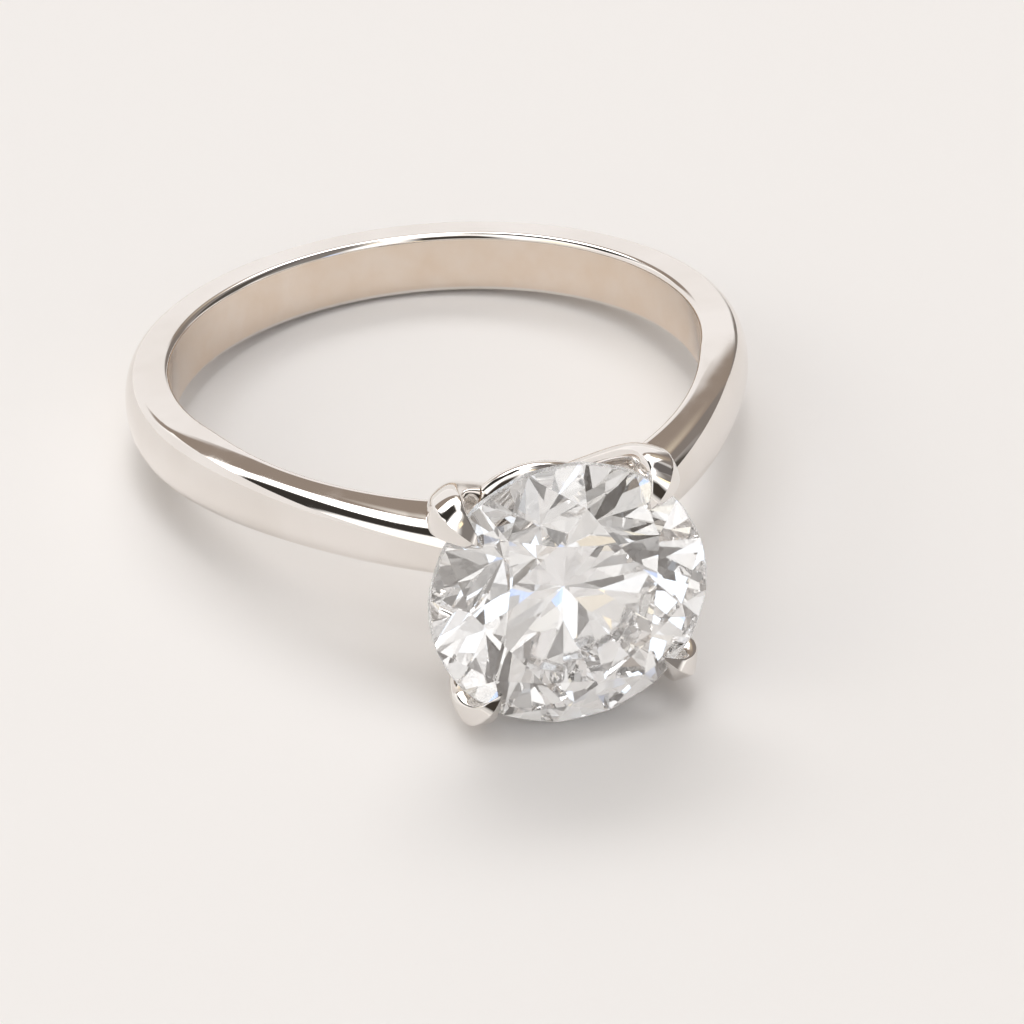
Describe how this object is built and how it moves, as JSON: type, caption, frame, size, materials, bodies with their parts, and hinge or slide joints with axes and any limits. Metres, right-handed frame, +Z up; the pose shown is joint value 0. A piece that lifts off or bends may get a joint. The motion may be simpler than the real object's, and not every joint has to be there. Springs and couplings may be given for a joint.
{
  "type": "engagement ring",
  "caption": "Solitaire engagement ring: polished white metal band with swept, narrowing shoulders, a talon-claw head and a round brilliant stone, lying on its side.",
  "frame": {"origin": "middle of the part's box in plan, on the table top that the ring lies on: the stone's edge and the back of the band touch Z = 0", "axes": "+Z up from the table the ring lies on, +X to the right as seen from in front of the stone, and the stone is at the -Y end. As it lies, the ring leans 7.05 degrees about X: the finger hole's axis is (0, 0.1228, 0.9924) and the stone's table faces (0, -0.9924, 0.1228)"},
  "size_m": [0.0194, 0.0264, 0.0081],
  "materials": {
    "band_metal": "mirror-polished white precious metal with fine hand-polishing lines",
    "head_metal": "polished white precious metal, a little duller in the recesses",
    "claw_metal": "mirror-polished white precious metal",
    "stone": "colourless faceted gem, polished, high refraction and dispersion"
  },
  "bodies": {
    "root": {"shank": "band_metal", "base_ring": "head_metal", "gallery_rail": "head_metal", "claw_upper_right": "claw_metal", "claw_upper_left": "claw_metal", "claw_lower_left": "claw_metal", "claw_lower_right": "claw_metal", "diamond": "stone"}
  },
  "joints": []
}
